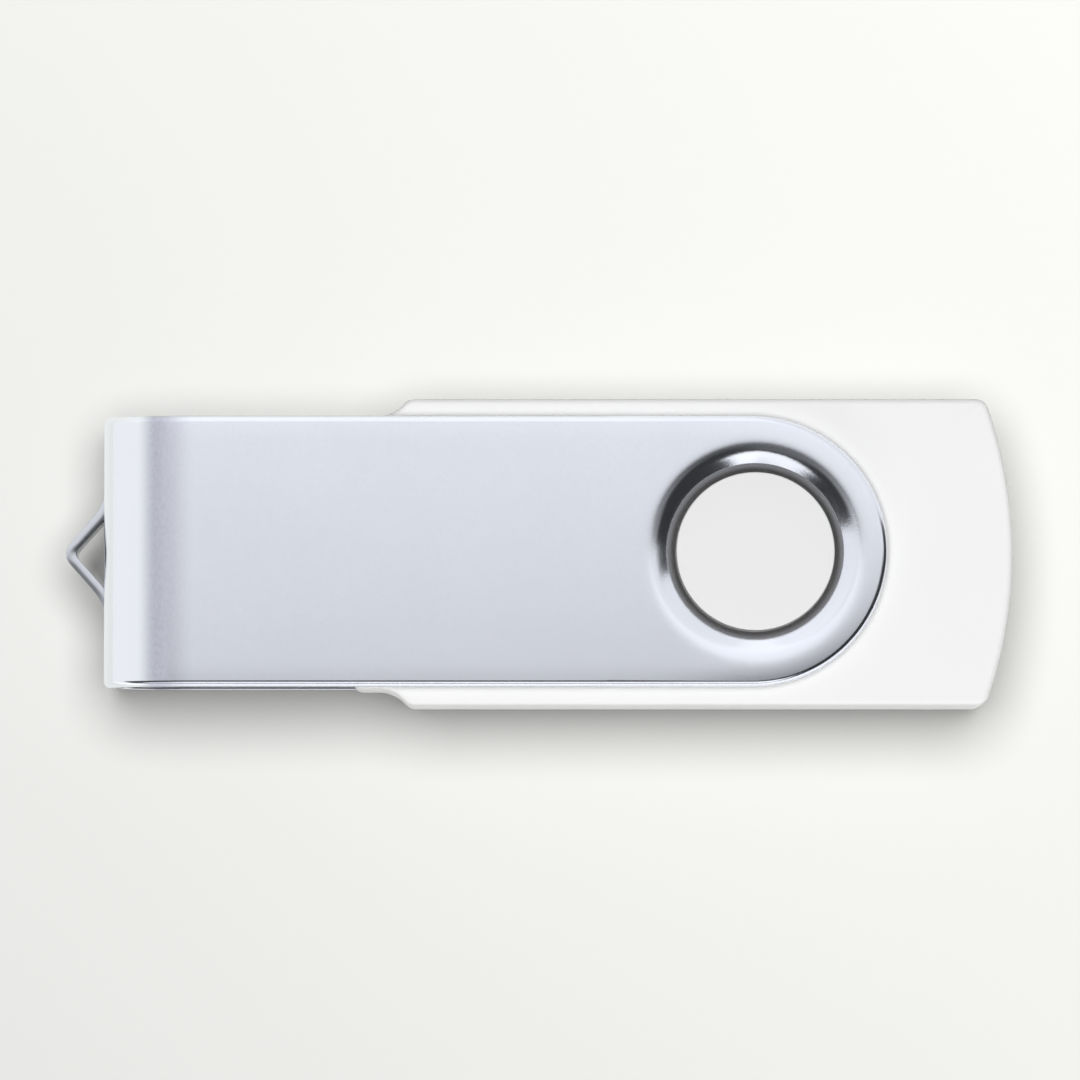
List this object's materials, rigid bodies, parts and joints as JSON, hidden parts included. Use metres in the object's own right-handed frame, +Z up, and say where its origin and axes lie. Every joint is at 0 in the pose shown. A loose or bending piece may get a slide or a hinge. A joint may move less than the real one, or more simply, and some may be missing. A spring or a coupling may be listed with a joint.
{
  "type": "usb flash drive",
  "caption": "Swivel USB flash drive: a bent metal cover turns right round a flat plastic housing to cover or free the plug.",
  "frame": {"origin": "centre of the underside of the whole object's box, on the surface that the drive lies on", "axes": "+X from the plug end to the rear of the housing, +Y across its width, +Z up through its thickness, along the swivel axis"},
  "size_m": [0.0582, 0.0188, 0.0104],
  "materials": {
    "satin_aluminium": "fine bead-blasted and anodised satin, bright and slightly cool",
    "white_plastic": "smooth white moulded plastic with a soft low gloss",
    "plated_steel": "bright nickel plate on drawn sheet",
    "black_nylon": "moulded black nylon",
    "gold_plate": "thin gold plate",
    "board_green": "green solder mask over glass-fibre board",
    "chip_black": "moulded epoxy, with tinned leads",
    "can_metal": "satin metal lid",
    "led_lens": "clear to milky lens",
    "resistor_black": "black film resistor with tinned ends",
    "capacitor_tan": "tan ceramic with tinned ends",
    "ferrite_grey": "dark grey ferrite with tinned ends"
  },
  "bodies": {
    "housing": {"housing_top": "white_plastic", "housing_bottom": "white_plastic", "usb_plug_shell": "plated_steel", "usb_plug_insulator": "black_nylon", "usb_contact_power": "gold_plate", "usb_contact_data_minus": "gold_plate", "usb_contact_data_plus": "gold_plate", "usb_contact_ground": "gold_plate", "circuit_board": "board_green", "flash_memory_chip": "chip_black", "controller_chip": "chip_black", "crystal": "can_metal", "activity_led": "led_lens", "led_resistor": "resistor_black", "ferrite_bead": "ferrite_grey", "data_resistor_1": "resistor_black", "data_resistor_2": "resistor_black", "capacitor_1": "capacitor_tan", "capacitor_2": "capacitor_tan", "capacitor_3": "capacitor_tan", "capacitor_4": "capacitor_tan", "capacitor_5": "capacitor_tan", "capacitor_6": "capacitor_tan"},
    "cover": {"swivel_cover": "satin_aluminium"}
  },
  "joints": [
    {"name": "cover_swivel", "type": "hinge", "parent": "housing", "child": "cover", "pos_m": [0.0133, 0, 0.0052], "axis": [0, 0, 1], "continuous": true}
  ]
}
